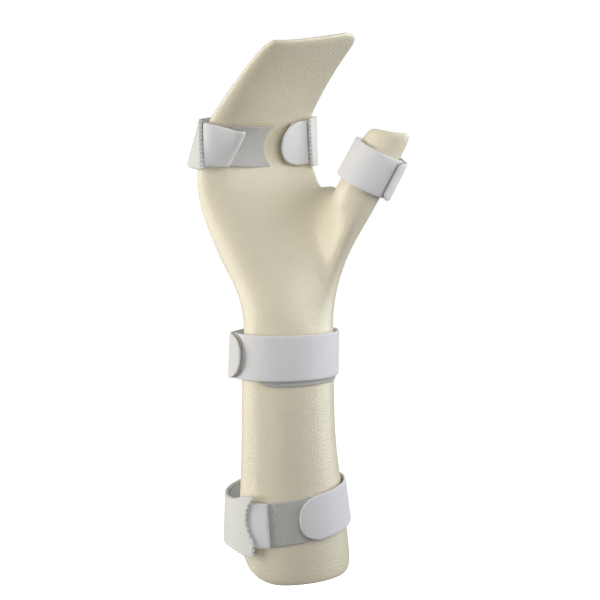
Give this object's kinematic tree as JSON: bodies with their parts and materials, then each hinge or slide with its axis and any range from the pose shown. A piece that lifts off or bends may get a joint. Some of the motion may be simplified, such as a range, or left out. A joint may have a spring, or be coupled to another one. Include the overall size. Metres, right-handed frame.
{
  "type": "wrist splint",
  "caption": "Resting wrist, hand and thumb splint: a moulded forearm trough with palm and finger pan and thumb gutter, held by hook-and-loop straps with felt pads.",
  "frame": {"origin": "middle of the wrist channel, on the line through the two mid-lateral rims at the wrist crease", "axes": "+Z runs distally along the forearm, from the elbow end to the fingertips; +Y is dorsal, out of the open side of the trough; +X is the thumb side of a right hand"},
  "size_m": [0.1112, 0.1315, 0.358],
  "materials": {
    "thermoplastic": "cream low-temperature thermoplastic, finely pebbled, soft sheen",
    "strap_webbing": "white brushed loop strapping, matte",
    "hook_tape": "off-white hook tape, fine dense hooks",
    "cream_hook_tape": "cream hook tape, fine dense hooks",
    "pad_felt": "soft white felt, pinked edges"
  },
  "bodies": {
    "splint": {"shell": "thermoplastic", "forearm_hook_strip": "hook_tape", "forearm_strap_anchor": "strap_webbing", "forearm_pad_flap": "pad_felt", "wrist_hook_strip": "hook_tape", "wrist_strap_anchor": "strap_webbing", "palm_hook_strip": "hook_tape", "palm_hook_patch": "cream_hook_tape", "palm_strap_anchor": "strap_webbing", "palm_strap_band": "strap_webbing", "palm_strap_pad": "pad_felt", "thumb_hook_strip": "hook_tape", "thumb_strap_anchor": "strap_webbing"},
    "forearm_band": {"forearm_strap_band": "strap_webbing", "forearm_strap_pad": "pad_felt"},
    "forearm_tab": {"forearm_strap_tab": "strap_webbing"},
    "wrist_band": {"wrist_strap_band": "strap_webbing"},
    "wrist_tab": {"wrist_strap_tab": "strap_webbing", "wrist_tab_hook": "cream_hook_tape"},
    "palm_tab": {"palm_strap_tab": "strap_webbing", "palm_pad_flap": "pad_felt"},
    "thumb_band": {"thumb_strap_band": "strap_webbing"},
    "thumb_tab": {"thumb_strap_tab": "strap_webbing", "thumb_tab_hook": "hook_tape"}
  },
  "joints": [
    {"name": "forearm_strap_open", "type": "hinge", "parent": "splint", "child": "forearm_band", "pos_m": [-0.04326, 0.00432, -0.13488], "axis": [0.0411, 0, 0.9992], "range_deg": [0, 60]},
    {"name": "forearm_tab_peel", "type": "hinge", "parent": "forearm_band", "child": "forearm_tab", "pos_m": [0.04084, 0.00432, -0.12512], "axis": [-0.1479, 0, 0.989], "range_deg": [0, 120]},
    {"name": "wrist_strap_open", "type": "hinge", "parent": "splint", "child": "wrist_band", "pos_m": [0.03391, 0.00357, -0.025], "axis": [-0.0168, 0, -0.9999], "range_deg": [0, 60]},
    {"name": "wrist_tab_peel", "type": "hinge", "parent": "wrist_band", "child": "wrist_tab", "pos_m": [-0.03311, 0.01675, -0.025], "axis": [-0.0492, 0, -0.9988], "range_deg": [0, 120]},
    {"name": "palm_tab_peel", "type": "hinge", "parent": "splint", "child": "palm_tab", "pos_m": [0.03772, 0.03038, 0.11718], "axis": [-0.0276, -0.0102, 0.9996], "range_deg": [0, 100]},
    {"name": "thumb_strap_open", "type": "hinge", "parent": "splint", "child": "thumb_band", "pos_m": [0.02557, -0.02919, 0.10624], "axis": [0.3059, -0.3901, 0.8685], "range_deg": [0, 50]},
    {"name": "thumb_tab_peel", "type": "hinge", "parent": "thumb_band", "child": "thumb_tab", "pos_m": [0.05307, -0.04518, 0.0901], "axis": [0.2784, -0.3741, 0.8846], "range_deg": [0, 100]}
  ],
  "couplings": [
    {"joint": "forearm_tab_peel", "follows": "forearm_strap_open", "ratio": 2},
    {"joint": "wrist_tab_peel", "follows": "wrist_strap_open", "ratio": 2},
    {"joint": "thumb_tab_peel", "follows": "thumb_strap_open", "ratio": 2}
  ]
}
